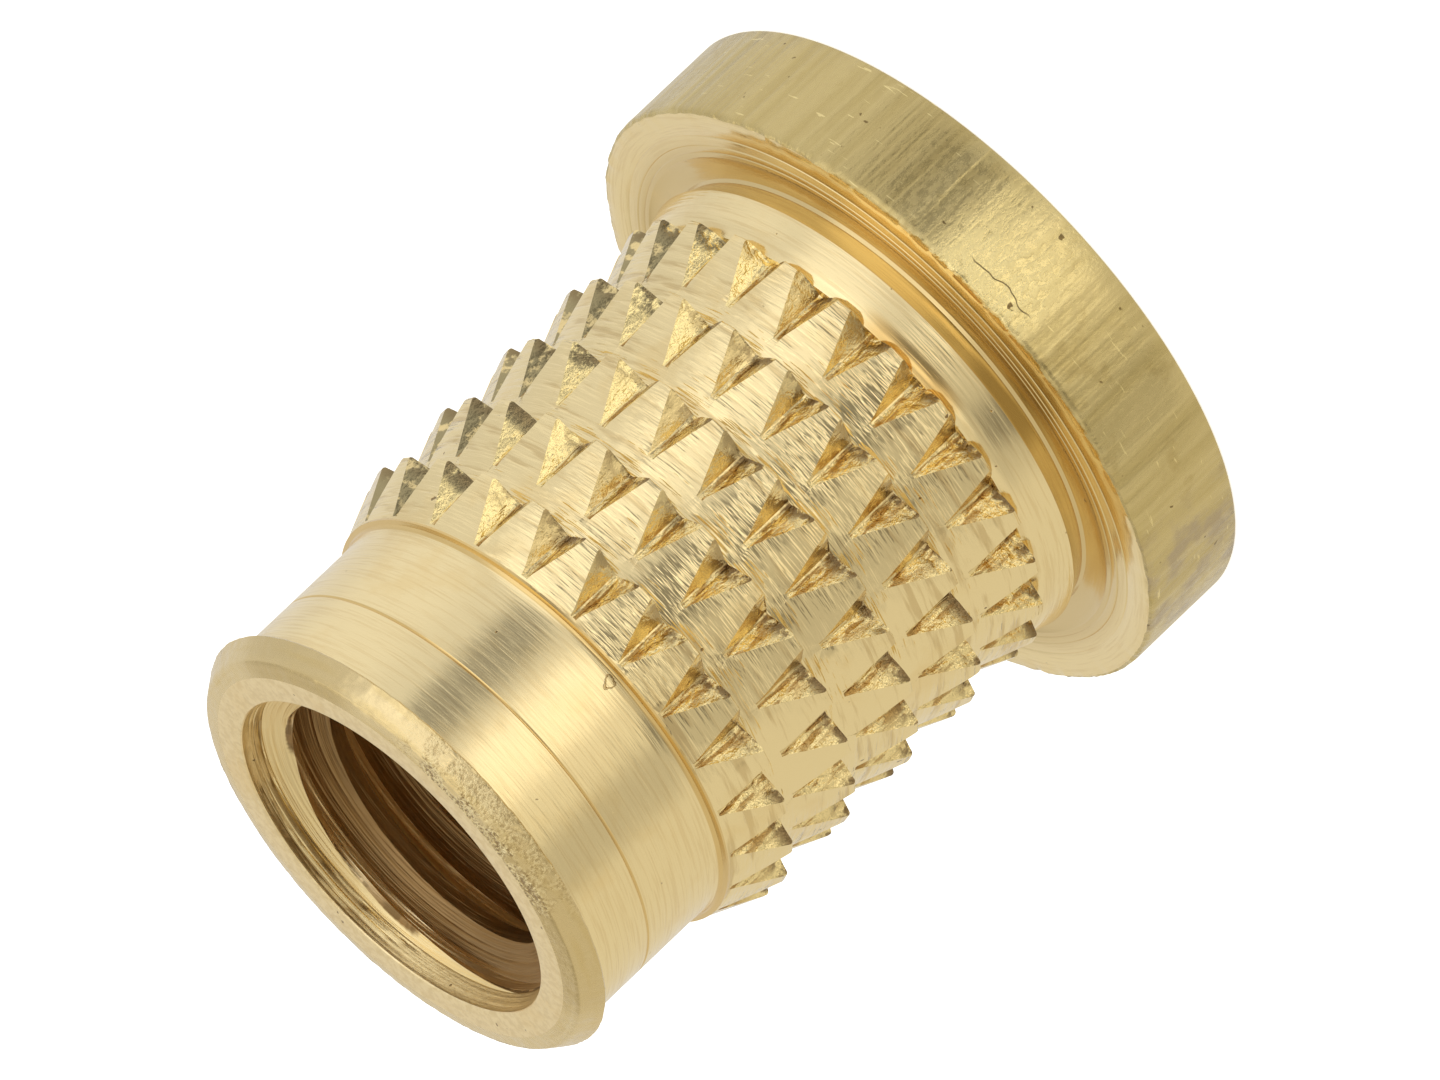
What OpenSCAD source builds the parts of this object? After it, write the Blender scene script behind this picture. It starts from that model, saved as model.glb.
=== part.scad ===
// Barbed, flanged brass insert with an M6 thread through it.
// It stands on the back of its flange: z = 0 is that face, and the plain pilot end points up.

/* [Body] */
// Overall length, flange back to pilot face
overall_l = 13.0; // [12.8:0.1:15]
// Diameter of the plain pilot barrel
barrel_d = 7.72; // [7.5:0.01:7.9]
// Height of the conical top of the barbs above the flange back, where the plain barrel starts
barrel_z = 10.07; // [10:0.01:10.3]
// Distance from the pilot face to the scribed line on the barrel
scribe_drop = 1.60; // [1.2:0.05:2.2]
// Depth of that line
scribe_depth = 0.02; // [0.01:0.01:0.04]

/* [Flange] */
// Flange diameter
flange_d = 11.35; // [10.6:0.05:13]
// Flange thickness
flange_t = 1.95; // [1.6:0.05:2]
// Edge break on both rims of the flange
flange_chamfer = 0.06; // [0.02:0.01:0.15]
// Diameter of the turned relief in the flange face, round the neck
relief_d = 9.42; // [9.2:0.02:9.8]
// Depth of that relief
relief_depth = 0.05; // [0.02:0.01:0.08]

/* [Neck] */
// Largest diameter of the neck
neck_d = 8.77; // [8.6:0.01:8.8]
// Diameter at the bottom of the groove between neck and flange
groove_d = 8.50; // [8.4:0.01:8.56]
// Distance from the flange face to the neck's largest diameter
groove_l = 0.36; // [0.3:0.01:0.4]

/* [Barbs] */
// Number of barb rings
barb_count = 5; // [5:1:5]
// Distance from one barb crest to the next
barb_pitch = 1.424; // [1.40:0.001:1.43]
// Crest diameter
crest_d = 8.80; // [8.76:0.01:8.9]
// Height of the lowest crest's trailing edge above the flange back
crest_z = 3.02; // [3:0.01:3.04]
// Length of the small land on each crest
crest_land = 0.05; // [0.02:0.01:0.1]
// Length along the axis of each steep back face
barb_back = 0.05; // [0.03:0.01:0.08]

/* [Notches] */
// Number of V notches round the barbs
notch_count = 25; // [16:1:27]
// Diameter across the notch floors
notch_floor_d = 8.04; // [7.9:0.01:8.1]
// Width of the flat at the bottom of each notch
notch_floor_w = 0.08; // [0.04:0.01:0.14]
// Angle between a notch's two walls
notch_angle = 90; // [70:1:95]
// Turn of the first notch from -Y towards -X
notch_start = -10.47; // [-14.4:0.01:14.4]

/* [Lip] */
// Diameter of the rolled lip at the pilot end
lip_d = 8.16; // [7.95:0.01:8.3]
// Outer diameter of the flat pilot face
face_d = 7.14; // [6.9:0.02:7.4]
// Distance from the pilot face to the edge that stands at the barrel's diameter
lip_edge_drop = 0.06; // [0.02:0.01:0.12]
// Distance from the pilot face to the lip's largest diameter
lip_drop = 0.39; // [0.3:0.01:0.45]
// Length of the lip's steep underside
lip_under = 0.10; // [0.08:0.01:0.2]

/* [Bore] */
// Minor diameter of the internal thread
thread_minor_d = 4.918; // [4.9:0.001:5.1]
// Diameter of the smooth counterbore at the pilot end
counterbore_d = 6.14; // [6.0:0.02:6.5]
// Depth of the counterbore
counterbore_depth = 0.39; // [0.3:0.01:0.7]
// Length of the cone between the counterbore and the thread
runout_l = 0.37; // [0.2:0.01:0.5]
// Depth of the lead-in chamfer at the flange end
lead_in = 0.64; // [0.4:0.02:0.8]

/* [Hidden] */
$fn = 96;
clear = 0.5;
collar_back = 0.12;
collar_back_d = 8.48;
collar_root_d = 8.26;
scribe_w = 0.06;
barrel_r = barrel_d / 2;
crest_r = crest_d / 2;
flange_r = flange_d / 2;
scribe_z = overall_l - scribe_drop;
lip_z = overall_l - lip_drop;

// Flange, its relief and the groove that ends at the neck's largest diameter
function flange_points() = [
    [flange_r - flange_chamfer, 0],
    [flange_r, flange_chamfer],
    [flange_r, flange_t - flange_chamfer],
    [flange_r - flange_chamfer, flange_t],
    [relief_d / 2, flange_t],
    [groove_d / 2 + relief_depth, flange_t - relief_depth],
    [groove_d / 2, flange_t],
    [neck_d / 2, flange_t + groove_l]
];

// Neck cone, up to the back of the lowest barb
function neck_points() = [
    [collar_back_d / 2, crest_z - barb_back - collar_back],
    [collar_root_d / 2, crest_z - barb_back]
];

// One barb: its crest, then the root that the next barb's back face starts from
function barb_points(i) = let (z = crest_z + i * barb_pitch) concat(
    [[crest_r, z], [crest_r, z + crest_land]],
    i < barb_count - 1 ? [[barrel_r, z + barb_pitch - barb_back]] : []
);

// Plain barrel with its scribed line
function barrel_points() = [
    [barrel_r, barrel_z],
    [barrel_r, scribe_z - scribe_w / 2],
    [barrel_r - scribe_depth, scribe_z],
    [barrel_r, scribe_z + scribe_w / 2]
];

// Rolled lip: steep underside, outer facet, then a shallow facet up to the pilot face
function lip_points() = [
    [barrel_r, lip_z - lip_under],
    [lip_d / 2, lip_z],
    [barrel_r, overall_l - lip_edge_drop],
    [face_d / 2, overall_l]
];

module turned_body() {
    rotate_extrude()
        polygon(concat(
            [[0, 0]],
            flange_points(),
            neck_points(),
            [for (i = [0:barb_count - 1]) each barb_points(i)],
            barrel_points(),
            lip_points(),
            [[0, overall_l]]
        ));
}

// V grooves that run along the axis, through every barb, and stop at the neck
module notches() {
    floor_r = notch_floor_d / 2;
    depth = crest_r - floor_r + clear;
    half_floor = notch_floor_w / 2;
    half_top = half_floor + depth * tan(notch_angle / 2);
    translate([0, 0, crest_z - barb_back])
        linear_extrude(height = barrel_z - crest_z)
            for (i = [0:notch_count - 1])
                rotate(-90 - notch_start - i * 360 / notch_count)
                    polygon([
                        [floor_r, -half_floor],
                        [floor_r, half_floor],
                        [floor_r + depth, half_top],
                        [floor_r + depth, -half_top]
                    ]);
}

// Counterbore, run-out cone, thread core and lead-in, as one turned cutter
module bore() {
    minor_r = thread_minor_d / 2;
    mouth_r = counterbore_d / 2;
    floor_z = overall_l - counterbore_depth;
    rotate_extrude()
        polygon([
            [0, -clear],
            [minor_r + lead_in + clear, -clear],
            [minor_r, lead_in],
            [minor_r, floor_z - runout_l],
            [mouth_r, floor_z],
            [mouth_r, overall_l + clear],
            [0, overall_l + clear]
        ]);
}

module threaded_insert() {
    color("#d6c38c")
        difference() {
            turned_body();
            notches();
            bore();
        }
}

threaded_insert();
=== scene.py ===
import math

import bmesh
import bpy
from mathutils import Matrix, Vector, noise


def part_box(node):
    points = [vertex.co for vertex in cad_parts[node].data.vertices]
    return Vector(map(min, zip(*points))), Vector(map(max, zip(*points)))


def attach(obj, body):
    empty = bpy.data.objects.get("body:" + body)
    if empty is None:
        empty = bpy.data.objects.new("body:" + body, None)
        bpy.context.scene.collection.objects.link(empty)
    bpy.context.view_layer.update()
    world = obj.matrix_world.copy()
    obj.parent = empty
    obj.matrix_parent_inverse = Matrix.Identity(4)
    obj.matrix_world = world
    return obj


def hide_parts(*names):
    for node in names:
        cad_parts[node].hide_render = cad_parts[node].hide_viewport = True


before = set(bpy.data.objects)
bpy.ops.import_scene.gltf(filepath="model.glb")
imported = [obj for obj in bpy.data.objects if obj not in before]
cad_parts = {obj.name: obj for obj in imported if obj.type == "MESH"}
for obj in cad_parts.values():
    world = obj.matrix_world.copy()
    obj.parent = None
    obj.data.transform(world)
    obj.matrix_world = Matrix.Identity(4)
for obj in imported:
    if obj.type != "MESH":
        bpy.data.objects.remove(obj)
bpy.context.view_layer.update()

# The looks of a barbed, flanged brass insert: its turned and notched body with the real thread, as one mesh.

NODE = "threaded_insert"
MM = 0.001
LOW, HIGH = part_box(NODE)

# Heights and radii in millimetres, from the flange's back face upwards
LENGTH = HIGH[2] / MM
FLANGE_R = HIGH[0] / MM
FLANGE_T = 1.95
RIM_EDGE = 0.06
RELIEF_R = 4.71
RELIEF_DEPTH = 0.05
GROOVE_R = 4.25
NECK_R = 4.385
NECK_Z = FLANGE_T + 0.36
COLLAR_R = 4.24
COLLAR_FOOT_R = 4.17
COLLAR_ROOT_R = 4.13
BARREL_R = 3.86
BARREL_Z = 10.07
SCRIBE_Z = LENGTH - 1.60
FACE_R = 3.57
LIP_R = 4.08
LIP_DROP = 0.39
LIP_EDGE_DROP = 0.06
MOUTH_R = 3.07
COUNTERBORE_DEPTH = 0.39
CONE_R = 3.02
CONE_SLOPE = math.tan(math.radians(60))
LEAD_IN_R = 3.10

# Fine turned lines in the flange's face: (radius, depth)
FACE_LINES = ((5.16, 0.010), (4.96, 0.014), (4.83, 0.010))

# Barbs and their V notches
BARB_COUNT = 5
BARB_PITCH = 1.424
CREST_R = 4.40
CREST_Z = 3.02
CREST_LAND = 0.05
BARB_BACK = 0.05
NOTCH_COUNT = 25
NOTCH_START = math.radians(-79.53)
NOTCH_FLOOR_R = 4.02
NOTCH_FLOOR_HALF = 0.04
NOTCH_PITCH = 2 * math.pi / NOTCH_COUNT

# Fine raised ring above the last barb's notches, and the (radius, height above it) of its upper side
RIDGE_Z = 9.76
RIDGE_R = 4.004
RIDGE_SIDE = ((3.925, 0.020), (3.900, 0.045), (3.885, 0.070))

# Internal thread: its crest's lower edge passes THREAD_Z at the mesh's first column and rises with the angle
THREAD_PITCH = 1.0
THREAD_MINOR_R = 2.459
THREAD_MAJOR_R = 3.0
THREAD_Z = 11.159
THREAD_CREST = 0.25
THREAD_ROOT = 0.125
THREAD_FLANK = 0.3125

# A small burr on the barrel
NICK = (-0.350, -3.844, 9.95)

# Columns of the mesh in one notch pitch: floor, wall, land and the next wall
WALL_STEPS = 5
LAND_STEPS = 5
PITCH_COLUMNS = 3 + 2 * WALL_STEPS + LAND_STEPS
COLUMNS = NOTCH_COUNT * PITCH_COLUMNS
BORE_COLUMNS = COLUMNS // 3

# Camera
CAMERA_ELEVATION = 21.94
CAMERA_ROLL = -133.52
CAMERA_DISTANCE = 471.35
CAMERA_LENS = 769.4
AIM = (0.053, 0.0, 5.478)

TURNED, BARB, CUT, RIM, LIP, FACE, THREAD = range(7)


# ---------------------------------------------------------------- profile


def lerp(a, b, t):
    return a + (b - a) * t


def clamp(value):
    return min(max(value, 0.0), 1.0)


def stretch(rows, r, z, steps, zone, notched=False, rough=0.0):
    """Adds a straight run from the last row to (r, z). Each row is a dict that the mesh builder reads."""
    last = rows[-1]
    for i in range(1, steps + 1):
        t = i / steps
        row = {"r": lerp(last["r"], r, t), "z": lerp(last["z"], z, t)}
        rows.append({**row, "zone": zone, "notched": notched, "rough": rough})


def face_line(rows, r, depth):
    """A fine turned line in the flange's face."""
    stretch(rows, r + 0.02, FLANGE_T, 1, TURNED)
    stretch(rows, r, FLANGE_T - depth, 1, TURNED)
    stretch(rows, r - 0.015, FLANGE_T, 1, TURNED)


def flange_rows(rows):
    stretch(rows, FLANGE_R - RIM_EDGE, 0, 1, TURNED)
    stretch(rows, FLANGE_R - 0.015, RIM_EDGE * 0.4, 1, RIM)
    stretch(rows, FLANGE_R, RIM_EDGE, 1, RIM)
    stretch(rows, FLANGE_R, FLANGE_T - RIM_EDGE - 0.06, 4, RIM)
    stretch(rows, FLANGE_R, FLANGE_T - RIM_EDGE, 1, RIM, rough=0.020)
    stretch(rows, FLANGE_R - 0.015, FLANGE_T - RIM_EDGE * 0.4, 1, RIM, rough=0.030)
    stretch(rows, FLANGE_R - RIM_EDGE, FLANGE_T, 1, RIM, rough=0.025)
    stretch(rows, FLANGE_R - 0.20, FLANGE_T, 1, TURNED)
    for r, depth in FACE_LINES:
        face_line(rows, r, depth)
    stretch(rows, RELIEF_R + 0.03, FLANGE_T, 1, TURNED)
    stretch(rows, RELIEF_R, FLANGE_T - 0.02, 1, TURNED)
    stretch(rows, GROOVE_R + 0.12, FLANGE_T - RELIEF_DEPTH, 2, TURNED)
    stretch(rows, GROOVE_R + 0.04, FLANGE_T - 0.03, 1, TURNED)
    stretch(rows, GROOVE_R, FLANGE_T + 0.02, 1, TURNED)
    stretch(rows, GROOVE_R + 0.02, FLANGE_T + 0.09, 1, TURNED)
    stretch(rows, NECK_R - 0.012, NECK_Z - 0.03, 2, TURNED)
    stretch(rows, NECK_R, NECK_Z, 1, TURNED)


def neck_rows(rows):
    root_z = CREST_Z - BARB_BACK
    stretch(rows, NECK_R - 0.01, NECK_Z + 0.04, 1, TURNED)
    stretch(rows, COLLAR_R, root_z - 0.12, 3, TURNED)
    stretch(rows, COLLAR_FOOT_R, root_z - 0.05, 1, TURNED)
    stretch(rows, COLLAR_ROOT_R, root_z, 1, TURNED)


def top_barb_rows(rows):
    """Above the notches of the last barb: a fine raised ring, then the cone's end."""
    stretch(rows, RIDGE_R - 0.004, RIDGE_Z - 0.045, 1, BARB)
    stretch(rows, RIDGE_R, RIDGE_Z, 1, TURNED)
    for r, above in RIDGE_SIDE:
        stretch(rows, r, RIDGE_Z + above, 1, TURNED)
    stretch(rows, BARREL_R, BARREL_Z, 2, TURNED)


def barb_rows(rows, i):
    """One barb: back face, crest, and the cone that rises to the next barb's root."""
    z = CREST_Z + i * BARB_PITCH
    back_t = (NOTCH_FLOOR_R - rows[-1]["r"]) / (CREST_R - rows[-1]["r"])
    if back_t > 0:
        stretch(rows, NOTCH_FLOOR_R, z - BARB_BACK * (1 - back_t), 1, BARB)
    stretch(rows, CREST_R - 0.02, z - 0.008, 3, BARB, notched=True, rough=0.012)
    stretch(rows, CREST_R, z + 0.012, 1, BARB, notched=True, rough=0.016)
    stretch(rows, CREST_R, z + CREST_LAND, 1, BARB, notched=True, rough=0.012)
    last = i == BARB_COUNT - 1
    top = BARREL_Z if last else z + BARB_PITCH - BARB_BACK
    slope = (CREST_R - BARREL_R) / (top - z - CREST_LAND)
    tip_z = z + CREST_LAND + (CREST_R - NOTCH_FLOOR_R) / slope
    stretch(rows, NOTCH_FLOOR_R, tip_z, 9, BARB, notched=True)
    if last:
        top_barb_rows(rows)
    else:
        stretch(rows, BARREL_R, top, 2, BARB)


def barrel_rows(rows):
    stretch(rows, BARREL_R, SCRIBE_Z - 0.03, 3, TURNED)
    stretch(rows, BARREL_R - 0.020, SCRIBE_Z - 0.010, 1, TURNED)
    stretch(rows, BARREL_R - 0.020, SCRIBE_Z + 0.005, 1, TURNED)
    stretch(rows, BARREL_R, SCRIBE_Z + 0.025, 1, TURNED)
    stretch(rows, BARREL_R, LENGTH - LIP_DROP - 0.10, 3, TURNED)


def lip_rows(rows):
    stretch(rows, LIP_R - 0.02, LENGTH - LIP_DROP - 0.03, 2, LIP, rough=0.010)
    stretch(rows, LIP_R, LENGTH - LIP_DROP, 1, LIP, rough=0.016)
    stretch(rows, LIP_R - 0.03, LENGTH - LIP_DROP + 0.055, 1, LIP, rough=0.012)
    stretch(rows, BARREL_R + 0.01, LENGTH - LIP_EDGE_DROP - 0.012, 3, LIP, rough=0.006)
    stretch(rows, BARREL_R - 0.02, LENGTH - LIP_EDGE_DROP + 0.008, 1, LIP, rough=0.010)
    stretch(rows, FACE_R, LENGTH, 4, LIP, rough=0.004)
    stretch(rows, MOUTH_R + 0.07, LENGTH, 2, FACE)
    stretch(rows, MOUTH_R + 0.035, LENGTH - 0.008, 1, FACE)
    stretch(rows, MOUTH_R + 0.02, LENGTH - 0.03, 1, FACE)


def outer_rows():
    rows = [{"r": LEAD_IN_R + 0.05, "z": 0.0, "zone": TURNED, "notched": False, "rough": 0.0}]
    flange_rows(rows)
    neck_rows(rows)
    for i in range(BARB_COUNT):
        barb_rows(rows, i)
    barrel_rows(rows)
    lip_rows(rows)
    return rows


# ---------------------------------------------------------------- mesh


def notch_section(r):
    """Half of one notch in a row of radius r: (angle, radius) from the floor's middle to the land."""
    width = NOTCH_FLOOR_HALF + max(r - NOTCH_FLOOR_R, 0.0)
    floor_angle = NOTCH_FLOOR_HALF / NOTCH_FLOOR_R
    opening = max(math.asin(width / r), floor_angle + math.radians(0.25))
    floor_r = min(r, NOTCH_FLOOR_R)
    a = Vector((floor_r, floor_r * math.tan(floor_angle), 0))
    b = Vector((r * math.cos(opening), r * math.sin(opening), 0))
    points = [(0.0, floor_r)]
    for k in range(WALL_STEPS + 1):
        p = a.lerp(b, k / WALL_STEPS)
        points.append((math.atan2(p.y, p.x), p.length))
    return points


def row_section(row):
    """(angle, radius, how torn) for each column of one notch pitch. The low side's wall is the torn one."""
    r = row["r"]
    if not row["notched"]:
        step = NOTCH_PITCH / PITCH_COLUMNS
        return [((k - 1) * step, r, 0.0) for k in range(PITCH_COLUMNS)]
    half = notch_section(r)
    deep = [1.0 - k / WALL_STEPS for k in range(WALL_STEPS + 1)]
    floor_angle, floor_r = half[1]
    section = [(-floor_angle, floor_r, 0.6), (0.0, half[0][1], 0.6), (floor_angle, floor_r, 0.6)]
    section += [(half[1 + k][0], half[1 + k][1], 0.35 * deep[k]) for k in range(1, WALL_STEPS + 1)]
    opening = half[-1][0]
    land = NOTCH_PITCH - 2 * opening
    section += [(opening + land * (k + 1) / (LAND_STEPS + 1), r, 0.0) for k in range(LAND_STEPS)]
    section += [(NOTCH_PITCH - half[1 + k][0], half[1 + k][1], deep[k]) for k in range(WALL_STEPS, 0, -1)]
    return section


def torn(x, y, z, seed):
    """Rough, torn metal: signed noise with sharp ridges."""
    p = Vector((x + seed, y, z))
    return noise.noise(p) + 0.7 * abs(noise.noise(p * 2.1)) - 0.2


def place_point(row, theta, radius, wall):
    """One point of the body in millimetres, with the tears of its row."""
    x, y, z = math.cos(theta), math.sin(theta), row["z"]
    r = radius
    if row["notched"]:
        trailing = clamp((row["r"] - NOTCH_FLOOR_R) / (CREST_R - NOTCH_FLOOR_R))
        tear = torn(x * 34, y * 34, z * 2.4, 3.0)
        lump = torn(x * 15, y * 15, z * 5.0, 21.0)
        r += wall * (0.03 + 0.03 * trailing) * tear
        r += wall * 0.07 * trailing * trailing * lump
    if row["rough"]:
        r -= row["rough"] * abs(torn(x * 26, y * 26, z * 5, 11.0))
        z += 0.9 * row["rough"] * torn(x * 20, y * 20, z, 17.0)
    return x * r * MM, y * r * MM, min(z, LENGTH) * MM


def outer_grid(verts, rows):
    """Rings of COLUMNS vertices, one for each row. Returns their indices."""
    rings = []
    for row in rows:
        section = row_section(row)
        ring = []
        for i in range(NOTCH_COUNT):
            for angle, radius, wall in section:
                ring.append(len(verts))
                verts.append(place_point(row, NOTCH_START + i * NOTCH_PITCH + angle, radius, wall))
        rings.append(ring)
    return rings


def thread_radius(phase):
    """Radius of the thread at a phase of 0 to 1 up one pitch, from the lower edge of the crest flat."""
    if phase < THREAD_CREST:
        return THREAD_MINOR_R
    if phase < THREAD_CREST + THREAD_FLANK:
        return lerp(THREAD_MINOR_R, THREAD_MAJOR_R, (phase - THREAD_CREST) / THREAD_FLANK)
    if phase < THREAD_CREST + THREAD_FLANK + THREAD_ROOT:
        return THREAD_MAJOR_R
    return lerp(THREAD_MINOR_R, THREAD_MAJOR_R, clamp((1.0 - phase) / THREAD_FLANK))


def bore_profile(z, top):
    """Radius of the bore before threading, at height z."""
    cone = CONE_R - (top - z) * CONE_SLOPE
    return max(THREAD_MINOR_R, LEAD_IN_R - z, cone)


def thread_grid(verts, bottom, top):
    """A grid sheared along the helix, so that the thread's edges follow its rows, with its faces."""
    phases = [0, 0.08, 0.17, 0.25, 0.33, 0.41, 0.49, 0.5625, 0.625, 0.6875, 0.79, 0.90]
    per_pitch = len(phases)
    first = math.floor((bottom - THREAD_Z) / THREAD_PITCH) - 1
    count = (math.ceil((top - THREAD_Z) / THREAD_PITCH) - first) * per_pitch
    grid = []
    for k in range(count + 1):
        phase = phases[k % per_pitch]
        start = THREAD_Z + (first + k // per_pitch + phase) * THREAD_PITCH
        line = []
        for j in range(BORE_COLUMNS):
            turn = j / BORE_COLUMNS
            theta = NOTCH_START + 2 * math.pi * turn
            z = min(max(start + turn * THREAD_PITCH, bottom), top)
            x, y = math.cos(theta), math.sin(theta)
            r = max(thread_radius(phase), bore_profile(z, top))
            if bottom < z < top:
                r += 0.008 * torn(x * 7, y * 7, z * 3, 7.0)
            line.append(len(verts))
            verts.append((x * r * MM, y * r * MM, z * MM))
        grid.append(line)
    faces = []
    for k in range(count):
        for j in range(BORE_COLUMNS):
            low, high, column = k, k + 1, j + 1
            if column == BORE_COLUMNS:
                low, high, column = min(k + per_pitch, count), min(k + 1 + per_pitch, count), 0
            faces.append((grid[k][j], grid[k + 1][j], grid[high][column], grid[low][column]))
    return grid, faces


def grooved(theta, z):
    """How strong a groove of the counterbore is here: they show on one side only, and not all through."""
    facing = clamp((math.cos(theta - math.radians(52)) - 0.40) / 0.35)
    spot = Vector((math.cos(theta) * 2.5, math.sin(theta) * 2.5, z * 9))
    return facing * clamp(0.45 + 1.8 * noise.noise(spot))


def ring_at(verts, r, z, groove):
    """A ring of BORE_COLUMNS vertices, deeper by groove where the groove shows."""
    ring = []
    for j in range(BORE_COLUMNS):
        theta = NOTCH_START + 2 * math.pi * j / BORE_COLUMNS
        radius = r + groove * grooved(theta, z)
        ring.append(len(verts))
        verts.append((math.cos(theta) * radius * MM, math.sin(theta) * radius * MM, z * MM))
    return ring


def bridge(a, b):
    """Quads between two rings of one size."""
    n = len(a)
    return [(a[j], a[(j + 1) % n], b[(j + 1) % n], b[j]) for j in range(n)]


def gather(wide, narrow):
    """Faces between an outer ring and a bore ring, which has a third as many vertices."""
    n = len(narrow)
    faces = []
    for j in range(n):
        run = [wide[(3 * j + 1 + k) % len(wide)] for k in range(4)]
        faces.append((*run, narrow[(j + 1) % n], narrow[j]))
    return faces


def counterbore_rings(verts):
    """Rings down the counterbore wall, which narrows a little, with its fine grooves."""
    steps = [(0.07, 0), (0.13, 0), (0.145, 0.016), (0.16, 0), (0.215, 0), (0.23, 0.022), (0.245, 0)]
    steps += [(0.31, 0), (0.325, 0.034), (0.35, 0.034), (0.365, 0)]
    rings = []
    for depth, groove in steps:
        rings.append(ring_at(verts, MOUTH_R + 0.02 - 0.24 * (depth - 0.07), LENGTH - depth, groove))
    return rings


def body_mesh():
    verts, faces, zones = [], [], []
    rows = outer_rows()
    rings = outer_grid(verts, rows)
    for k in range(len(rings) - 1):
        zone = rows[k + 1]["zone"]
        cut = rows[k]["notched"] and rows[k + 1]["notched"]
        for j, quad in enumerate(bridge(rings[k], rings[k + 1])):
            place = j % PITCH_COLUMNS
            wall = place < 2 + WALL_STEPS or place >= PITCH_COLUMNS - WALL_STEPS
            faces.append(quad)
            zones.append(CUT if cut and wall else zone)

    top = LENGTH - COUNTERBORE_DEPTH
    wall_rings = counterbore_rings(verts)
    parts = [(gather(rings[-1], wall_rings[0]), FACE)]
    for a, b in zip(wall_rings, wall_rings[1:]):
        parts.append((bridge(a, b), FACE))
    grid, thread_faces = thread_grid(verts, 0.0, top)
    parts.append((bridge(wall_rings[-1], grid[-1]), FACE))
    parts.append((thread_faces, THREAD))
    parts.append(([tuple(reversed(f)) for f in gather(rings[0], grid[0])], TURNED))
    for group, zone in parts:
        faces += group
        zones += [zone] * len(group)

    mesh = bpy.data.meshes.new("insert_body")
    mesh.from_pydata(verts, [], faces)
    for polygon, zone in zip(mesh.polygons, zones):
        polygon.material_index = zone
    return mesh


def clean(mesh):
    """Merges the thread's clamped ends, makes all faces look outwards and sets which edges are sharp."""
    bm = bmesh.new()
    bm.from_mesh(mesh)
    bmesh.ops.remove_doubles(bm, verts=bm.verts, dist=1e-7)
    bmesh.ops.recalc_face_normals(bm, faces=bm.faces)
    bm.to_mesh(mesh)
    bm.free()
    mesh.shade_smooth()
    mesh.set_sharp_from_angle(angle=math.radians(30))


# ---------------------------------------------------------------- materials


class Nodes:
    """A short way to add and link shader nodes."""

    def __init__(self, tree):
        self.tree = tree

    def add(self, kind, **settings):
        node = self.tree.nodes.new(kind)
        for name, value in settings.items():
            setattr(node, name, value)
        return node

    def put(self, socket, value):
        if isinstance(value, bpy.types.NodeSocket):
            self.tree.links.new(value, socket)
        else:
            socket.default_value = value

    def math(self, operation, a, b=0.0, clamp=False):
        node = self.add("ShaderNodeMath", operation=operation, use_clamp=clamp)
        self.put(node.inputs[0], a)
        self.put(node.inputs[1], b)
        return node.outputs[0]

    def times(self, *values):
        product = values[0]
        for value in values[1:]:
            product = self.math("MULTIPLY", product, value)
        return product

    def noise(self, vector, scale=1.0, detail=2.0, roughness=0.5):
        node = self.add("ShaderNodeTexNoise")
        self.put(node.inputs["Vector"], vector)
        self.put(node.inputs["Scale"], scale)
        self.put(node.inputs["Detail"], detail)
        self.put(node.inputs["Roughness"], roughness)
        return node.outputs["Fac"]

    def vector(self, x, y, z):
        node = self.add("ShaderNodeCombineXYZ")
        for socket, value in zip(node.inputs, (x, y, z)):
            self.put(socket, value)
        return node.outputs[0]

    def remap(self, value, low, high, to_low=0.0, to_high=1.0):
        node = self.add("ShaderNodeMapRange", interpolation_type="SMOOTHSTEP")
        for socket, v in zip(node.inputs, (value, low, high, to_low, to_high)):
            self.put(socket, v)
        return node.outputs[0]

    def band(self, value, middle, half, soft):
        """1 within half of the middle, fading to 0 over soft."""
        distance = self.math("ABSOLUTE", self.math("SUBTRACT", value, middle))
        return self.remap(distance, half, half + soft, 1.0, 0.0)

    def mix(self, fac, a, b):
        node = self.add("ShaderNodeMix", data_type="RGBA")
        self.put(node.inputs[0], fac)
        for socket, colour in ((node.inputs[6], a), (node.inputs[7], b)):
            self.put(socket, (*colour, 1.0) if isinstance(colour, tuple) else colour)
        return node.outputs[2]


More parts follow.
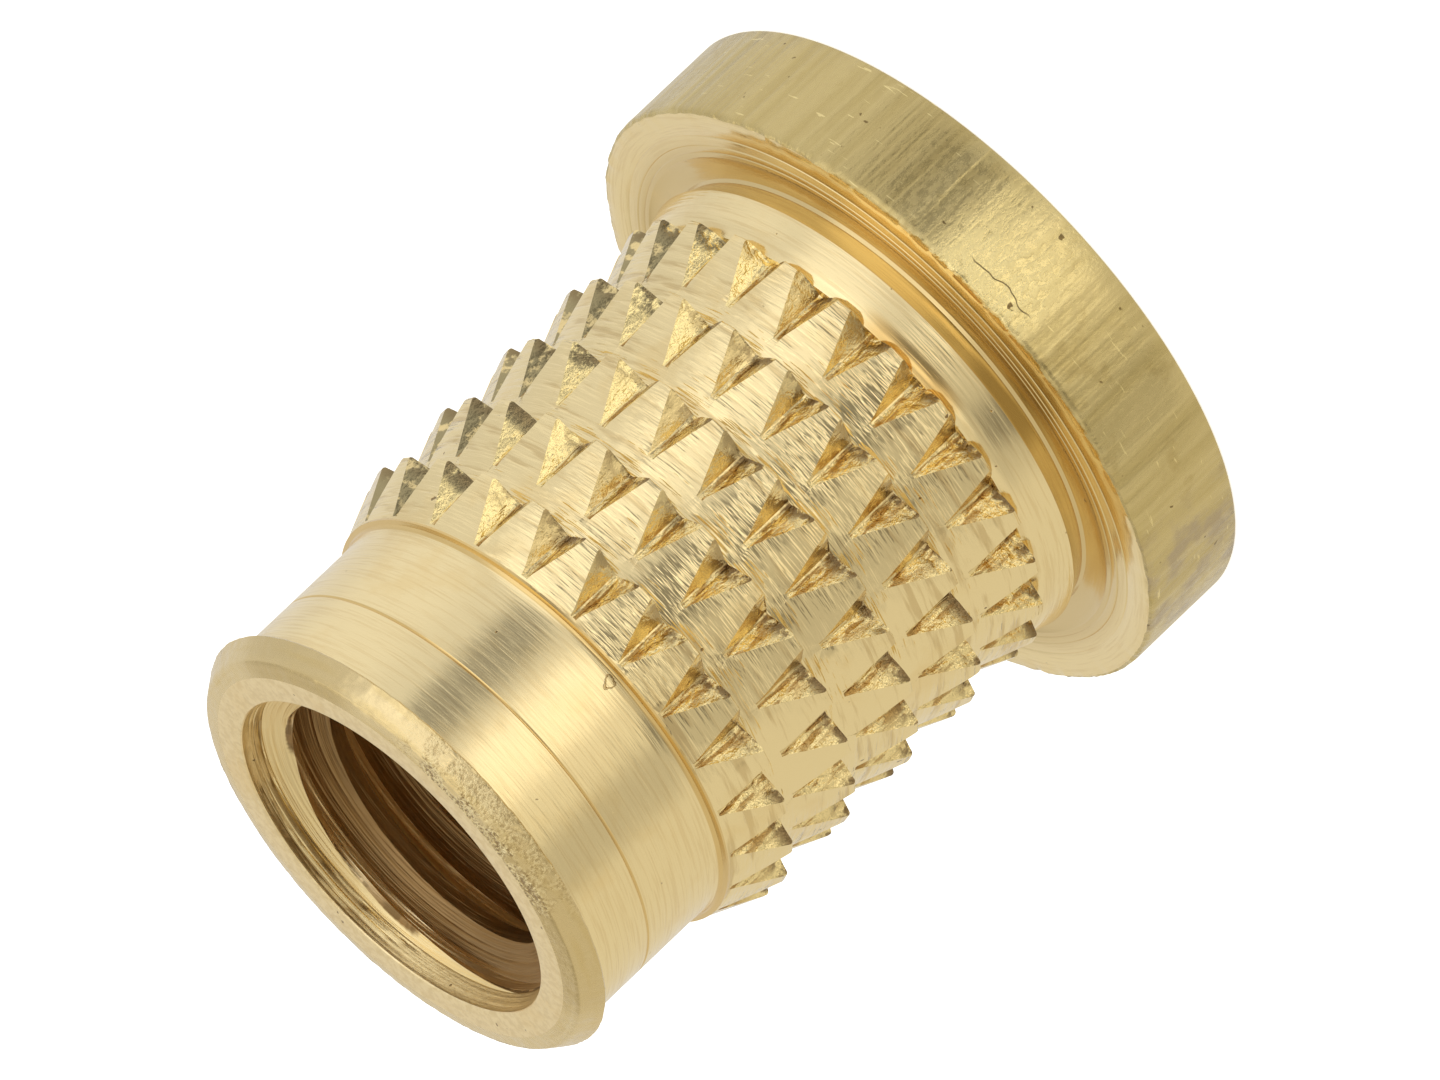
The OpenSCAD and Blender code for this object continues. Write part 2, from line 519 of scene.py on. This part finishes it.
class Place:
    """Object coordinates in millimetres, and fields made from them."""

    def __init__(self, n):
        self.n = n
        coord = n.add("ShaderNodeTexCoord")
        scale = n.add("ShaderNodeVectorMath", operation="SCALE")
        n.put(scale.inputs[0], coord.outputs["Object"])
        scale.inputs["Scale"].default_value = 1 / MM
        split = n.add("ShaderNodeSeparateXYZ")
        n.put(split.inputs[0], scale.outputs[0])
        self.point = scale.outputs[0]
        self.normal = coord.outputs["Normal"]
        self.x, self.y, self.z = split.outputs
        self.r = n.math("SQRT", n.math("ADD", n.times(self.x, self.x), n.times(self.y, self.y)))

    def stretched(self, across, along, seed=0.0):
        """Coordinates for noise: across the axis and along it, per millimetre."""
        n = self.n
        x = n.math("ADD", n.times(self.x, across), seed)
        return n.vector(x, n.times(self.y, across), n.times(self.z, along))

    def round_marks(self, fine, along, seed=0.0):
        """Coordinates in which noise makes turning marks: fine along the profile, long round the axis."""
        n = self.n
        profile = n.math("ADD", self.z, n.times(self.r, 0.8))
        x = n.math("ADD", n.times(self.x, along), seed)
        return n.vector(x, n.times(self.y, along), n.times(profile, fine))

    def distance(self, centre):
        node = self.n.add("ShaderNodeVectorMath", operation="DISTANCE")
        self.n.put(node.inputs[0], self.point)
        node.inputs[1].default_value = centre
        return node.outputs["Value"]

    def facing_up(self, low, high):
        """1 where the surface faces the pilot end, by the height of its unit normal."""
        split = self.n.add("ShaderNodeSeparateXYZ")
        self.n.put(split.inputs[0], self.normal)
        return self.n.remap(split.outputs[2], low, high)

    def side(self, angle, inner, outer):
        """1 on the side that faces this angle (0 is -Y, turning towards -X), 0 away from it, in degrees."""
        n = self.n
        a = math.radians(angle)
        dot = n.math("ADD", n.times(self.x, -math.sin(a)), n.times(self.y, -math.cos(a)))
        cosine = n.math("DIVIDE", dot, self.r)
        return n.remap(cosine, math.cos(math.radians(outer)), math.cos(math.radians(inner)))


def brass(name, colour, roughness):
    material = bpy.data.materials.new(name)
    material.use_nodes = True
    n = Nodes(material.node_tree)
    shader = material.node_tree.nodes["Principled BSDF"]
    shader.inputs["Metallic"].default_value = 1.0
    shader.inputs["Base Color"].default_value = (*colour, 1.0)
    shader.inputs["Roughness"].default_value = roughness
    material.diffuse_color = (*colour, 1.0)
    return material, n, shader, Place(n)


def relief(n, shader, heights):
    """Adds bump layers, each (height field, depth in millimetres), on top of each other."""
    normal = None
    for field, depth in heights:
        bump = n.add("ShaderNodeBump")
        bump.inputs["Strength"].default_value = 1.0
        bump.inputs["Distance"].default_value = depth * MM
        n.put(bump.inputs["Height"], field)
        if normal is not None:
            n.put(bump.inputs["Normal"], normal)
        normal = bump.outputs[0]
    n.put(shader.inputs["Normal"], normal)


def pits_and_stains(n, place, base, pit_level):
    """Sparse dark pits and a faint warm stain over a base colour."""
    pits = n.noise(place.point, scale=5.5, detail=1.0)
    pit = n.remap(pits, pit_level, pit_level + 0.03)
    stain = n.remap(n.noise(place.point, scale=0.8, detail=4.0, roughness=0.6), 0.52, 0.68)
    base = n.mix(n.times(stain, 0.35), base, (0.84, 0.62, 0.27))
    return n.mix(pit, base, (0.35, 0.24, 0.11)), pit


def painted_face_and_neck_light(n, place, base):
    """Painted shade on the flange face towards the neck, a painted orange reflection under one notch, and a
    painted dark reflection in the groove on one side.
    """
    # Painted shade: the flange face darker towards the neck, under the barbs.
    on_face = n.remap(place.z, FLANGE_T + 0.05, FLANGE_T + 0.02)
    painted_neck_shade = n.remap(place.r, 5.3, 4.7, 0.15, 1.0)
    base = n.mix(n.times(on_face, painted_neck_shade), base, (0.72, 0.55, 0.26))
    # Painted reflection: an orange glow on the collar under one notch, on one side only.
    warm = n.times(n.band(place.z, CREST_Z - 0.12, 0.10, 0.16), place.side(0, 8, 16))
    base = n.mix(n.times(warm, 0.8), base, (0.74, 0.48, 0.16))
    # Painted reflection: a dark patch in the groove and at the neck's foot, on one side.
    painted_dark_reflection = n.times(n.band(place.z, NECK_Z - 0.15, 0.10, 0.08), place.side(19, 5, 14))
    return n.mix(n.times(painted_dark_reflection, 0.8), base, (0.45, 0.34, 0.16))


def nick_outline(n, place):
    """The uneven outline of the small burr on the barrel."""
    uneven = n.times(n.math("SUBTRACT", n.noise(place.point, scale=6.0), 0.5), 0.25)
    outline = n.band(n.math("ADD", place.distance(NICK), uneven), 0.075, 0.008, 0.014)
    return n.times(outline, n.remap(place.distance(NICK), 0.20, 0.14))


def golden_lines(n, place):
    """The scribed line and the fine raised ring."""
    scribed = n.band(place.z, SCRIBE_Z - 0.005, 0.016, 0.012)
    return n.math("ADD", scribed, n.band(place.z, RIDGE_Z + 0.02, 0.05, 0.02))


def turned_brass():
    """The flange faces, neck and barrel: bright, with marks round the axis and golden fine lines."""
    colour = (0.93, 0.76, 0.41)
    material, n, shader, place = brass("brass_turned", colour, 0.17)
    fine = n.noise(place.round_marks(26.0, 0.8), detail=3.0, roughness=0.6)
    streak = n.noise(place.round_marks(11.0, 0.5, 5.0), detail=3.0, roughness=0.55)
    base = n.mix(n.remap(fine, 0.36, 0.52), (0.86, 0.68, 0.35), colour)
    base = painted_face_and_neck_light(n, place, base)
    nick = nick_outline(n, place)
    base = n.mix(n.times(nick, 0.8), base, (0.48, 0.33, 0.13))
    base = n.mix(n.times(golden_lines(n, place), 0.75), base, (0.72, 0.49, 0.17))
    base, pit = pits_and_stains(n, place, base, 0.79)
    n.put(shader.inputs["Base Color"], base)
    n.put(shader.inputs["Roughness"], n.remap(streak, 0.35, 0.65, 0.13, 0.22))
    calm = n.remap(place.z, FLANGE_T + 0.01, FLANGE_T + 0.03, 0.4, 1.0)
    streak = n.times(calm, n.math("SUBTRACT", streak, 0.5))
    fine = n.times(calm, n.math("SUBTRACT", fine, 0.5))
    relief(n, shader, [(streak, 0.008), (fine, 0.0045), (pit, -0.010), (nick, 0.020)])
    return material


def barb_brass():
    """The barbs' cones: the same brass with coarse, broken turning marks."""
    colour = (0.92, 0.75, 0.40)
    material, n, shader, place = brass("brass_barb", colour, 0.18)
    fine = n.noise(place.round_marks(20.0, 0.9), detail=3.0, roughness=0.6)
    streak = n.noise(place.round_marks(8.5, 0.50, 5.0), detail=3.0, roughness=0.65)
    broken = n.noise(place.stretched(1.3, 1.0, 31.0), detail=2.0)
    deep = n.times(n.math("SUBTRACT", streak, 0.5), n.remap(broken, 0.40, 0.60, 0.40, 1.0))
    base = n.mix(n.remap(streak, 0.34, 0.48), (0.74, 0.57, 0.28), colour)
    base, pit = pits_and_stains(n, place, base, 0.78)
    n.put(shader.inputs["Base Color"], base)
    n.put(shader.inputs["Roughness"], n.remap(broken, 0.35, 0.65, 0.12, 0.20))
    relief(n, shader, [(deep, 0.095), (fine, 0.006), (pit, -0.010)])
    return material


def smooth_wall_painted_light(n, place, from_crest, tear):
    """Colour of a notch's smooth wall: a painted highlight on one side of the body, painted shade further
    round.
    """
    # Painted highlight: the wall brighter on one side.
    base = n.mix(place.side(-48, 12, 18), (0.88, 0.69, 0.33), (1.0, 0.81, 0.38))
    # Painted shade: darker near the crest end on the next side, and on a side further round.
    wall_painted_shade = n.times(place.side(-60, 8, 16), n.remap(from_crest, 0.42, 0.26))
    wall_painted_shade = n.math("MAXIMUM", wall_painted_shade, place.side(-76, 10, 16))
    return n.mix(n.times(wall_painted_shade, n.remap(tear, 0.40, 0.50)), base, (0.40, 0.33, 0.17))


def cut_brass():
    """The notches: one smooth wall, one torn wall with streaks along the cut that darken towards the floor
    as painted shade, and a dark end: torn chips, with painted shade where the notch is deepest.
    """
    colour = (0.97, 0.78, 0.37)
    material, n, shader, place = brass("brass_cut", colour, 0.16)
    streak = n.noise(place.stretched(10.0, 2.0), detail=3.0, roughness=0.55)
    tear = n.noise(place.point, scale=3.6, detail=4.0, roughness=0.6)
    angle = n.math("SUBTRACT", n.math("ARCTAN2", place.y, place.x), NOTCH_START - 10.5 * NOTCH_PITCH)
    across = n.math("FRACT", n.times(angle, 1 / NOTCH_PITCH))
    torn_wall = n.remap(across, 0.49, 0.52, 1.0, 0.0)
    turns = n.times(n.math("SUBTRACT", place.z, CREST_Z - 0.06), 1 / BARB_PITCH)
    from_crest = n.times(n.math("FRACT", turns), BARB_PITCH)
    end = n.times(n.remap(from_crest, 0.08, 0.40, 1.0, 0.0), n.remap(torn_wall, 0.0, 1.0, 0.6, 1.0))
    # Dark end near the crest: torn chips, and painted shade of the notch's deep end.
    dark = n.times(n.remap(tear, 0.42, 0.54), end)
    # Painted shade: the torn wall's streaks darken towards the notch floor.
    deep = n.remap(place.r, NOTCH_FLOOR_R + 0.02, NOTCH_FLOOR_R + 0.30, 0.95, 0.0)
    deep_streaks_painted_shade = n.times(deep, torn_wall, n.remap(streak, 0.56, 0.42))
    base = n.mix(torn_wall, smooth_wall_painted_light(n, place, from_crest, tear), colour)
    base = n.mix(deep_streaks_painted_shade, base, (0.46, 0.26, 0.07))
    base = n.mix(n.times(dark, 0.9), base, (0.20, 0.12, 0.05))
    n.put(shader.inputs["Base Color"], base)
    n.put(shader.inputs["Roughness"], n.remap(tear, 0.35, 0.65, 0.11, 0.22))
    one_side = n.times(place.side(-48, 12, 18), 0.5)
    rough = n.math("MAXIMUM", n.remap(torn_wall, 0.0, 1.0, 0.3, 1.0), one_side)
    tears = n.times(rough, n.math("SUBTRACT", tear, 0.5))
    streaks = n.times(rough, n.math("SUBTRACT", streak, 0.5))
    relief(n, shader, [(tears, 0.120), (streaks, 0.024)])
    return material


def rim_crack(n, place):
    """A fine, bent crack near the rim's upper edge."""
    wander = n.noise(place.stretched(1.5, 0.0, 3.0), detail=2.0)
    bend = n.times(n.math("SUBTRACT", wander, 0.5), 0.5)
    crack = n.band(n.math("SUBTRACT", place.z, bend), 1.50, 0.004, 0.010)
    return n.times(crack, place.side(1, 5, 7))


def rim_painted_shade_and_blotches(n, place, bands, blotch):
    """Painted shade in bands on one side, and darker blotches all round."""
    shade = n.math("MAXIMUM", place.side(-27, 4, 12), n.times(place.side(-42, 14, 28), 0.7))
    shade = n.times(shade, n.remap(bands, 0.30, 0.60, 1.0, 0.5))
    return n.math("MAXIMUM", shade, n.times(n.remap(blotch, 0.52, 0.66), 0.6))


def rim_brass():
    """The flange's rim: matt, with bands along the axis, scratches, a stain, painted shade on one side, and
    a bright, grainy patch of painted highlight.
    """
    colour = (0.67, 0.53, 0.23)
    material, n, shader, place = brass("brass_rim", colour, 0.28)
    bands = n.noise(place.stretched(2.4, 0.14), detail=3.0, roughness=0.55)
    grain = n.noise(place.stretched(9.0, 6.0), detail=4.0, roughness=0.65)
    blotch = n.noise(place.stretched(1.6, 1.6, 20.0), detail=5.0, roughness=0.6)
    scratch = n.remap(n.noise(place.stretched(2.0, 16.0, 40.0), detail=2.0), 0.69, 0.73)
    # Painted highlight: a bright, grainy patch on one side, stronger towards the face.
    painted_highlight_patch = n.times(place.side(-1, 5, 12), n.remap(place.z, 0.2, 1.5, 0.35, 1.0))
    painted_highlight_patch = n.times(painted_highlight_patch, n.remap(grain, 0.28, 0.48))
    crack = rim_crack(n, place)
    stain = n.times(place.side(68, 8, 20), n.remap(blotch, 0.40, 0.66))
    pit = n.remap(n.noise(place.point, scale=5.0, detail=2.0), 0.72, 0.76)
    base = n.mix(n.remap(bands, 0.36, 0.62), (0.61, 0.48, 0.20), (0.71, 0.57, 0.26))
    # Painted shade on one side of the rim, and darker blotches.
    base = n.mix(rim_painted_shade_and_blotches(n, place, bands, blotch), base, (0.54, 0.41, 0.16))
    # The patch's painted highlight, and real bright scratches.
    base = n.mix(n.math("MAXIMUM", painted_highlight_patch, n.times(scratch, 0.7)), base, (1.0, 0.82, 0.38))
    base = n.mix(n.times(stain, 0.6), base, (0.47, 0.38, 0.27))
    base = n.mix(n.math("MAXIMUM", pit, crack), base, (0.26, 0.18, 0.07))
    n.put(shader.inputs["Base Color"], base)
    n.put(shader.inputs["Roughness"], n.remap(grain, 0.35, 0.65, 0.20, 0.34))
    dents = n.times(painted_highlight_patch, n.math("SUBTRACT", grain, 0.5))
    relief(n, shader, [(bands, 0.050), (grain, 0.009), (dents, 0.035), (crack, -0.015)])
    return material


def lip_brass():
    """The rolled lip, duller than the barrel, with painted shade on part of its upper facet, and a torn,
    granular stretch on that facet with painted glints.
    """
    colour = (0.79, 0.63, 0.33)
    material, n, shader, place = brass("brass_lip", colour, 0.24)
    facet = n.remap(place.r, BARREL_R + 0.02, BARREL_R - 0.02, 0.45, 1.0)
    where = n.math("MAXIMUM", place.side(11, 14, 34), n.times(place.side(60, 20, 60), 0.15))
    ragged = n.noise(place.point, scale=3.0, detail=3.0)
    torn_area = n.times(where, facet, n.remap(ragged, 0.36, 0.52))
    grain = n.noise(place.point, scale=17.0, detail=3.0, roughness=0.65)
    marks = n.noise(place.round_marks(12.0, 0.7), detail=3.0)
    grains = n.times(torn_area, n.math("SUBTRACT", grain, 0.5))
    lumps = n.noise(place.point, scale=2.0, detail=2.0)
    # Painted shade: the upper facet darker on the sides facing -Y, except round one side.
    painted_facet_shade = n.times(facet, n.remap(place.side(-12, 14, 30), 0.0, 1.0, 1.0, 0.0), place.side(0, 66, 80))
    base = n.mix(n.remap(marks, 0.35, 0.55), (0.76, 0.59, 0.28), colour)
    base = n.mix(n.times(painted_facet_shade, 0.9), base, (0.62, 0.47, 0.21))
    # Painted glints: bright grains in the torn stretch.
    base = n.mix(n.times(torn_area, n.remap(grain, 0.52, 0.60)), base, (1.0, 0.84, 0.46))
    base = n.mix(n.times(torn_area, n.remap(grain, 0.48, 0.41)), base, (0.34, 0.22, 0.08))
    n.put(shader.inputs["Base Color"], base)
    n.put(shader.inputs["Roughness"], n.remap(grain, 0.35, 0.65, 0.17, 0.32))
    relief(n, shader, [(lumps, 0.030), (marks, 0.012), (grains, 0.055)])
    return material


def face_brass():
    """The pilot face and counterbore: satin, mottled, with faint rings, and painted light on the counterbore
    wall.
    """
    colour = (0.91, 0.74, 0.42)
    material, n, shader, place = brass("brass_face", colour, 0.34)
    rings = n.noise(place.round_marks(12.0, 0.3), detail=3.0)
    mottle = n.noise(place.point, scale=7.0, detail=4.0, roughness=0.65)
    bore = n.remap(place.z, LENGTH - 0.05, LENGTH - 0.03, 1.0, 0.0)
    lines = n.noise(place.round_marks(14.0, 0.5, 12.0), detail=2.0)
    dark = n.times(bore, place.side(210, 30, 62), n.remap(lines, 0.50, 0.58))
    base = n.mix(n.remap(mottle, 0.38, 0.60), (0.81, 0.64, 0.34), colour)
    # Painted light: the counterbore wall brighter than the face.
    base = n.mix(n.times(bore, 0.7), base, (0.98, 0.80, 0.42))
    base = n.mix(n.times(dark, 0.8), base, (0.32, 0.20, 0.07))
    base, pit = pits_and_stains(n, place, base, 0.77)
    n.put(shader.inputs["Base Color"], base)
    n.put(shader.inputs["Roughness"], n.remap(bore, 0.0, 1.0, 0.34, 0.44))
    relief(n, shader, [(rings, 0.010), (mottle, 0.010), (pit, -0.010)])
    return material


def thread_brass():
    """The thread: browner in stains, with tool marks along the helix, and painted shade on its crests and on
    the flanks facing the pilot end, in the turns near the mouth. The cone above it is as bright as the
    mouth.
    """
    colour = (1.0, 0.82, 0.50)
    material, n, shader, place = brass("brass_thread", colour, 0.24)
    top = LENGTH - COUNTERBORE_DEPTH
    cone_r = n.math("SUBTRACT", CONE_R, n.times(n.math("SUBTRACT", top, place.z), CONE_SLOPE))
    off_cone = n.math("SUBTRACT", place.r, cone_r)
    on_cone = n.band(off_cone, 0.0, 0.012, 0.015)
    ragged = n.remap(n.noise(place.point, scale=4.0, detail=3.0), 0.36, 0.52)
    edge = n.times(n.band(off_cone, 0.05, 0.02, 0.02), ragged)
    marks = n.noise(place.round_marks(13.0, 0.30), detail=3.0, roughness=0.55)
    stain = n.noise(place.stretched(0.5, 1.6), detail=2.0)
    base = n.mix(n.remap(marks, 0.38, 0.56), (0.88, 0.64, 0.32), colour)
    base = n.mix(n.remap(stain, 0.42, 0.64, 0.0, 0.35), base, (0.70, 0.46, 0.20))
    # Painted shade: crests and flanks facing the pilot end darker, in the turns near the mouth.
    crest = n.remap(place.r, THREAD_MINOR_R + 0.10, THREAD_MINOR_R + 0.02)
    painted_thread_shade = n.times(n.math("MAXIMUM", crest, place.facing_up(0.4, 0.8)), 0.9)
    painted_thread_shade = n.times(painted_thread_shade, n.remap(place.z, THREAD_Z - 1.3, THREAD_Z - 0.5, 0.0, 1.0))
    base = n.mix(painted_thread_shade, base, (0.25, 0.135, 0.04))
    base = n.mix(on_cone, base, (0.88, 0.70, 0.36))
    base = n.mix(n.times(edge, 0.6), base, (0.16, 0.10, 0.04))
    n.put(shader.inputs["Base Color"], base)
    deep = n.remap(place.z, THREAD_Z - 0.6, THREAD_Z - 1.8, 0.0, 0.30)
    n.put(shader.inputs["Roughness"], n.math("ADD", n.remap(marks, 0.35, 0.65, 0.42, 0.28), deep))
    relief(n, shader, [(marks, 0.030)])
    return material


def materials():
    """One material for each zone, in the order of the zone numbers."""
    return [
        turned_brass(),
        barb_brass(),
        cut_brass(),
        rim_brass(),
        lip_brass(),
        face_brass(),
        thread_brass(),
    ]


# ---------------------------------------------------------------- surroundings


def direction(azimuth, elevation):
    """Unit vector. Azimuth 0 is -Y, and it turns towards -X."""
    a, e = math.radians(azimuth), math.radians(elevation)
    return (-math.sin(a) * math.cos(e), -math.cos(a) * math.cos(e), math.sin(e))


def panel(n, ray, azimuth, elevation, inner, outer, light):
    """Light added round one direction; inner and outer are half-angles in degrees."""
    dot = n.add("ShaderNodeVectorMath", operation="DOT_PRODUCT")
    n.put(dot.inputs[0], ray)
    dot.inputs[1].default_value = direction(azimuth, elevation)
    near, far = math.cos(math.radians(inner)), math.cos(math.radians(outer))
    return n.remap(dot.outputs["Value"], far, near, 0.0, light)


def light_tent():
    """A white tent round the object: even light, with brighter and darker panels, cooler on its left."""
    world = bpy.data.worlds.new("tent")
    world.use_nodes = True
    n = Nodes(world.node_tree)
    ray = n.add("ShaderNodeTexCoord").outputs["Generated"]
    level = 0.80
    panels = [
        # below the horizon, seen in the barrel and the rim
        (4, -23, 8, 20, 0.54),
        (30, -22, 4, 18, 0.14),
        (-34, -24, 6, 16, -0.46),
        (59, -22, 5, 20, -0.20),
        (-95, -22, 14, 36, 0.10),
        # just above it, seen in the barbs
        (-46, 17, 12, 27, 0.30),
        (1, 24, 10, 19, -0.52),
        (0, 2, 4, 13, 0.34),
        (0, 48, 6, 14, 0.60),
        (42, 17, 12, 34, -0.20),
        (40, 0, 5, 14, -0.34),
        (28, 40, 5, 13, 0.34),
        (-115, 2, 8, 28, -0.06),
        # high up, seen in the lip and the neck
        (-50, 53, 14, 28, 0.46),
        (-150, 66, 10, 26, 0.38),
        (150, 58, 10, 26, -0.14),
        (0, 66, 5, 14, -0.20),
        (-150, 40, 6, 18, -0.14),
        (150, 38, 6, 18, -0.10),
    ]
    for item in panels:
        level = n.math("ADD", panel(n, ray, *item), level)
    cool = panel(n, ray, -90, 0, 40, 130, 1.0)
    background = world.node_tree.nodes["Background"]
    n.put(background.inputs["Color"], n.mix(cool, (0.95, 0.905, 0.81), (1.0, 1.0, 1.03)))
    n.put(background.inputs["Strength"], level)
    bpy.context.scene.world = world


def key_light():
    """A large soft light overhead, for the floor and the object's soft shadow."""
    lamp = bpy.data.lights.new("key", "AREA")
    lamp.shape = "DISK"
    lamp.size = 0.30
    lamp.energy = 0.10
    key = bpy.data.objects.new("key", lamp)
    key.location = (-0.05, -0.05, 0.25)
    key.rotation_mode = "QUATERNION"
    key.rotation_quaternion = Vector(key.location).to_track_quat("Z", "Y")
    key.visible_glossy = False
    bpy.context.collection.objects.link(key)


def floor():
    """A plain white floor under the flange."""
    mesh = bpy.data.meshes.new("floor")
    size = 1.5
    corners = [(-size, -size, 0), (size, -size, 0), (size, size, 0), (-size, size, 0)]
    mesh.from_pydata(corners, [], [(0, 1, 2, 3)])
    ground = bpy.data.objects.new("floor", mesh)
    bpy.context.collection.objects.link(ground)
    material = bpy.data.materials.new("floor_white")
    material.use_nodes = True
    shader = material.node_tree.nodes["Principled BSDF"]
    shader.inputs["Base Color"].default_value = (0.92, 0.92, 0.92, 1.0)
    shader.inputs["Roughness"].default_value = 0.9
    shader.inputs["Specular IOR Level"].default_value = 0.0
    shader.inputs["Emission Color"].default_value = (1.0, 1.0, 1.0, 1.0)
    shader.inputs["Emission Strength"].default_value = 0.60
    mesh.materials.append(material)
    ground.visible_glossy = False


def camera():
    """Long lens, above the flange's plane, rolled so that the pilot end points down and to the left."""
    data = bpy.data.cameras.new("camera")
    data.lens = CAMERA_LENS
    data.clip_start, data.clip_end = 0.01, 10.0
    cam = bpy.data.objects.new("camera", data)
    elevation = math.radians(CAMERA_ELEVATION)
    forward = Vector((0, math.cos(elevation), -math.sin(elevation)))
    tilt = Matrix.Rotation(math.radians(90 - CAMERA_ELEVATION), 4, "X")
    roll = Matrix.Rotation(math.radians(CAMERA_ROLL), 4, "Z")
    place = Vector(AIM) * MM - forward * CAMERA_DISTANCE * MM
    cam.matrix_world = Matrix.Translation(place) @ tilt @ roll
    bpy.context.collection.objects.link(cam)
    bpy.context.scene.camera = cam


def insert():
    mesh = body_mesh()
    clean(mesh)
    for material in materials():
        mesh.materials.append(material)
    body = bpy.data.objects.new("insert_body", mesh)
    bpy.context.collection.objects.link(body)
    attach(body, "root")
    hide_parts(NODE)


camera()
light_tent()
key_light()
floor()
insert()
bpy.context.scene.view_settings.view_transform = "Standard"
